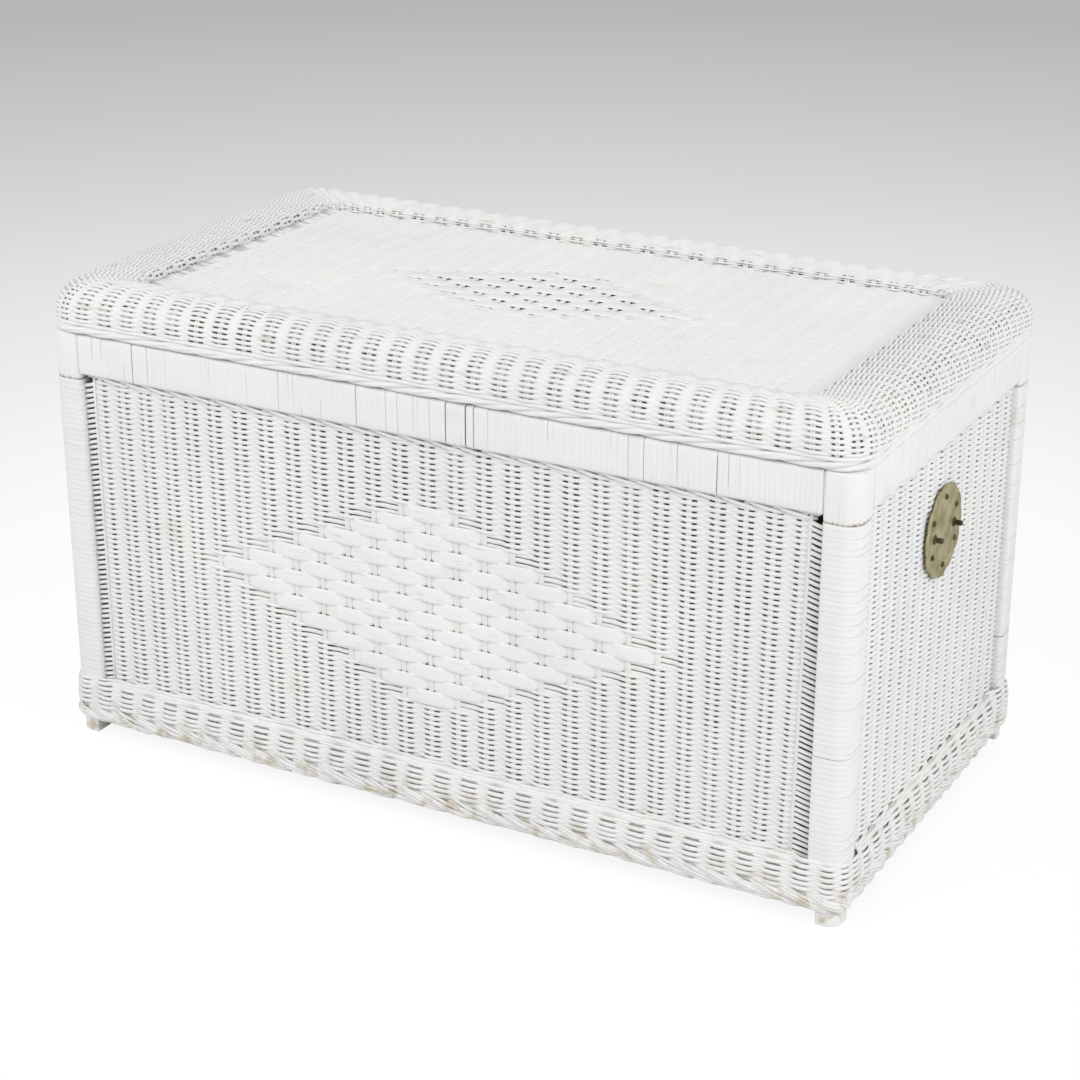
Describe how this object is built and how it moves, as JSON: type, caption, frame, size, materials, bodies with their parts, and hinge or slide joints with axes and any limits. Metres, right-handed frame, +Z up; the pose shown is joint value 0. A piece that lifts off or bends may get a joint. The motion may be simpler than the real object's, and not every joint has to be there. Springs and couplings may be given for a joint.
{
  "type": "wicker trunk",
  "caption": "White wicker storage trunk on a cane-wound frame, with splint diamonds in front and top, brass end plates and a hinged lid with a rolled rim.",
  "frame": {"origin": "on the floor under the middle of the trunk", "axes": "+X to the viewer's right along the trunk, +Y to the back, +Z up; the front with the diamond faces -Y"},
  "size_m": [0.9132, 0.492, 0.5135],
  "materials": {
    "painted_reed": "white paint on round reed, worn, dark gaps",
    "wound_cane": "white paint on flat cane",
    "flat_splint": "white paint on flat splint",
    "painted_wood": "worn white paint",
    "frame_wood": "bare",
    "floor_board": "bare board",
    "plate_brass": "tarnished",
    "stud_brass": "dark tarnished",
    "hinge_steel": "brass-plated, dull"
  },
  "bodies": {
    "chest": {"base_border": "painted_reed", "base_rope": "painted_reed", "bottom_rail_back": "frame_wood", "bottom_rail_front": "frame_wood", "bottom_rail_left": "frame_wood", "bottom_rail_right": "frame_wood", "corner_post_back_left": "frame_wood", "corner_post_back_right": "frame_wood", "corner_post_front_left": "frame_wood", "corner_post_front_right": "frame_wood", "corner_wrap_back_left": "wound_cane", "corner_wrap_back_right": "wound_cane", "corner_wrap_front_left": "wound_cane", "corner_wrap_front_right": "wound_cane", "floor_batten_left": "frame_wood", "floor_batten_right": "frame_wood", "floor_board": "floor_board", "foot_back_left": "painted_wood", "foot_back_right": "painted_wood", "foot_front_left": "painted_wood", "foot_front_right": "painted_wood", "front_diamond": "flat_splint", "handle_plate_left": "plate_brass", "handle_plate_right": "plate_brass", "handle_stud_left_back": "stud_brass", "handle_stud_left_front": "stud_brass", "handle_stud_right_back": "stud_brass", "handle_stud_right_front": "stud_brass", "hinge_body_leaf_left": "hinge_steel", "hinge_body_leaf_right": "hinge_steel", "hinge_pin_left": "hinge_steel", "hinge_pin_right": "hinge_steel", "post_winding_back_left": "wound_cane", "post_winding_back_right": "wound_cane", "post_winding_front_left": "wound_cane", "post_winding_front_right": "wound_cane", "rail_winding_back": "wound_cane", "rail_winding_front": "wound_cane", "rail_winding_left": "wound_cane", "rail_winding_right": "wound_cane", "top_rail_back": "frame_wood", "top_rail_front": "frame_wood", "top_rail_left": "frame_wood", "top_rail_right": "frame_wood", "wicker_panel_back": "painted_reed", "wicker_panel_front": "painted_reed", "wicker_panel_left": "painted_reed", "wicker_panel_right": "painted_reed"},
    "lid": {"hinge_lid_leaf_left": "hinge_steel", "hinge_lid_leaf_right": "hinge_steel", "lid_batten_left": "frame_wood", "lid_batten_right": "frame_wood", "lid_diamond": "flat_splint", "lid_edge": "painted_reed", "lid_frame_back": "frame_wood", "lid_frame_front": "frame_wood", "lid_frame_left": "frame_wood", "lid_frame_right": "frame_wood", "lid_panel": "painted_reed", "lid_rim": "painted_reed"}
  },
  "joints": [
    {"name": "lid_hinge", "type": "hinge", "parent": "chest", "child": "lid", "pos_m": [0, 0.2433, 0.4607], "axis": [-1, 0, 0], "range_deg": [0, 100]}
  ]
}
